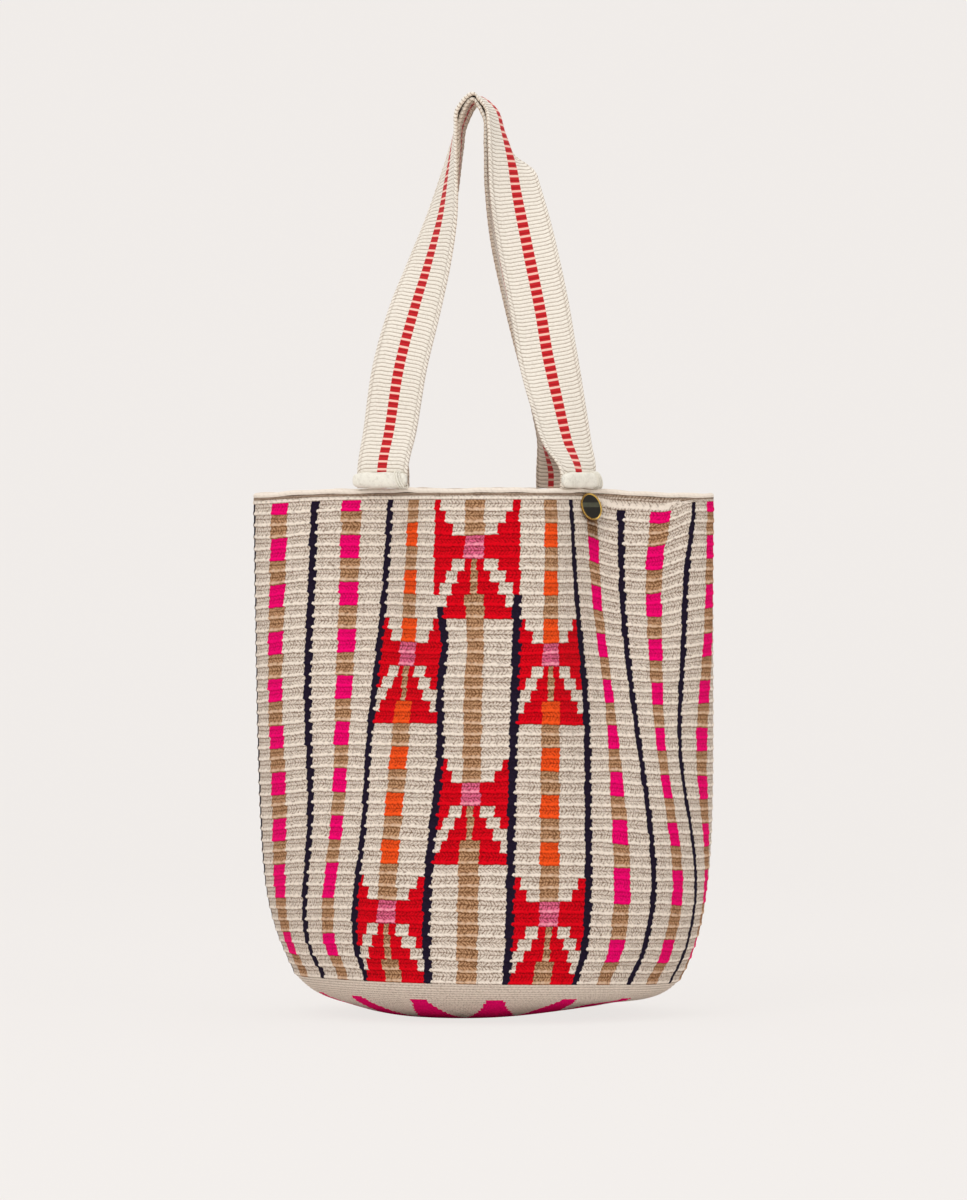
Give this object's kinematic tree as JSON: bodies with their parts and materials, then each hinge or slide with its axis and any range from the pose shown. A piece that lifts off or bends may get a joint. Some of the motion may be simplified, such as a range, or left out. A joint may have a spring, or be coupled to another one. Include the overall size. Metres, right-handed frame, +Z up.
{
  "type": "shopper bag",
  "caption": "Crocheted bucket shopper bag with a rounded base, ridged rounds in stepped colourwork, webbing shoulder handles sewn on at bound ends, and a riveted brass disc",
  "frame": {"origin": "middle of the bag's base, on the surface it stands on", "axes": "+Z up along the bag and its handles, the front with the brass disc faces -Y, the wide side runs along X"},
  "size_m": [0.351, 0.2932, 0.6991],
  "materials": {
    "crochet": "ridged crocheted cotton in cream with tan, pink, red, orange, rose and navy yarn",
    "crochet_edge": "rolled crocheted edge in cream cotton",
    "webbing": "cream cotton webbing with cross ribs and a dashed red stripe down the middle",
    "piping": "smooth cream cotton binding",
    "brass": "polished brass with a dark mirror face"
  },
  "bodies": {
    "root": {"body": "crochet", "rim_edge": "crochet_edge", "strap_front": "webbing", "strap_back": "webbing", "binding_front_left": "piping", "binding_front_right": "piping", "binding_back_left": "piping", "binding_back_right": "piping", "stud_cap": "brass", "stud_washer": "brass"}
  },
  "joints": []
}
